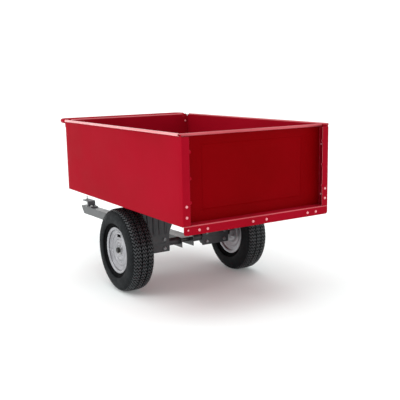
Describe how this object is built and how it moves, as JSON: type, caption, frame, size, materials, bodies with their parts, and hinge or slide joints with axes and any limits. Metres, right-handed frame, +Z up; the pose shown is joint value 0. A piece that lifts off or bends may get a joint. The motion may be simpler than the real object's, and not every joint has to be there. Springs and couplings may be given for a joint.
{
  "type": "tow behind cart",
  "caption": "Steel dump cart towed behind a lawn tractor: open box bed with lift-out tailgate, two pneumatic wheels, tipping axle and a pin hitch tongue.",
  "frame": {"origin": "on the ground, half-way along the cart from the rear bolt heads to the nose of the tongue, on the centre plane", "axes": "+X along the tongue towards the hitch, +Y to the left of the cart, +Z up"},
  "size_m": [1.9352, 0.7828, 0.806],
  "materials": {
    "red_paint": "gloss red powder coat on sheet steel",
    "red_bolt_paint": "gloss red powder coat over bolt heads",
    "black_paint": "satin black powder coat on pressed steel",
    "grey_paint": "satin dark grey powder coat on the formed tongue",
    "tyre_rubber": "matt black rubber",
    "rim_paint": "silver-grey paint on pressed steel",
    "zinc_hardware": "bright zinc plate",
    "bare_steel": "oiled bare steel",
    "soft_rubber": "soft black rubber"
  },
  "bodies": {
    "tongue": {"tongue": "grey_paint", "bed_support_stand": "black_paint", "stand_bolt_1": "zinc_hardware", "stand_bolt_2": "zinc_hardware", "latch_striker": "bare_steel", "bed_rest_pad": "soft_rubber", "hitch_strap": "black_paint", "hitch_strap_bolt_left": "zinc_hardware", "hitch_strap_bolt_right": "zinc_hardware", "axle_shaft": "bare_steel", "left_axle_spacer": "black_paint", "right_axle_spacer": "black_paint", "left_axle_washer": "zinc_hardware", "right_axle_washer": "zinc_hardware", "left_cotter_pin": "zinc_hardware", "right_cotter_pin": "zinc_hardware"},
    "bed": {"bed_floor": "red_paint", "left_side_panel": "red_paint", "right_side_panel": "red_paint", "front_panel": "red_paint", "front_grab_handle": "red_paint", "left_tailgate_guide": "red_paint", "right_tailgate_guide": "red_paint", "left_post_bolt_1": "red_bolt_paint", "left_post_bolt_2": "red_bolt_paint", "right_post_bolt_1": "red_bolt_paint", "right_post_bolt_2": "red_bolt_paint", "left_axle_bracket": "black_paint", "left_axle_clamp_plate": "black_paint", "left_axle_bearing_block": "black_paint", "right_axle_bracket": "black_paint", "right_axle_clamp_plate": "black_paint", "right_axle_bearing_block": "black_paint", "left_bracket_bolt_inner_upper": "zinc_hardware", "left_bracket_bolt_inner_lower": "zinc_hardware", "left_bracket_bolt_outer_upper": "zinc_hardware", "left_bracket_bolt_outer_lower": "zinc_hardware", "right_bracket_bolt_inner_upper": "zinc_hardware", "right_bracket_bolt_inner_lower": "zinc_hardware", "right_bracket_bolt_outer_upper": "zinc_hardware", "right_bracket_bolt_outer_lower": "zinc_hardware", "latch_bracket": "red_paint", "latch_pivot_pin": "bare_steel"},
    "tailgate": {"tailgate": "red_paint"},
    "left_wheel": {"left_tyre": "tyre_rubber", "left_wheel_rim": "rim_paint", "left_wheel_hub": "rim_paint", "left_wheel_bearing": "bare_steel", "left_valve_stem": "soft_rubber"},
    "right_wheel": {"right_tyre": "tyre_rubber", "right_wheel_rim": "rim_paint", "right_wheel_hub": "rim_paint", "right_wheel_bearing": "bare_steel", "right_valve_stem": "soft_rubber"},
    "latch": {"latch_lever": "black_paint", "latch_grip": "soft_rubber"},
    "hitch_pin": {"hitch_pin": "zinc_hardware"}
  },
  "joints": [
    {"name": "bed_dump", "type": "hinge", "parent": "tongue", "child": "bed", "pos_m": [-0.31598, 0, 0.202], "axis": [0, -1, 0], "range_deg": [0, 33]},
    {"name": "tailgate_lift", "type": "slide", "parent": "bed", "child": "tailgate", "axis": [0, 0, 1], "range_m": [0, 0.36]},
    {"name": "latch_turn", "type": "hinge", "parent": "bed", "child": "latch", "pos_m": [0.27402, 0, 0.408], "axis": [0, -1, 0], "range_deg": [-42, 0]},
    {"name": "left_wheel_spin", "type": "hinge", "parent": "tongue", "child": "left_wheel", "pos_m": [-0.31598, 0.326, 0.202], "axis": [0, 1, 0], "continuous": true},
    {"name": "right_wheel_spin", "type": "hinge", "parent": "tongue", "child": "right_wheel", "pos_m": [-0.31598, -0.326, 0.202], "axis": [0, 1, 0], "continuous": true},
    {"name": "hitch_pin_lift", "type": "slide", "parent": "tongue", "child": "hitch_pin", "axis": [0.0257, 0, 0.9997], "range_m": [0, 0.1]}
  ]
}
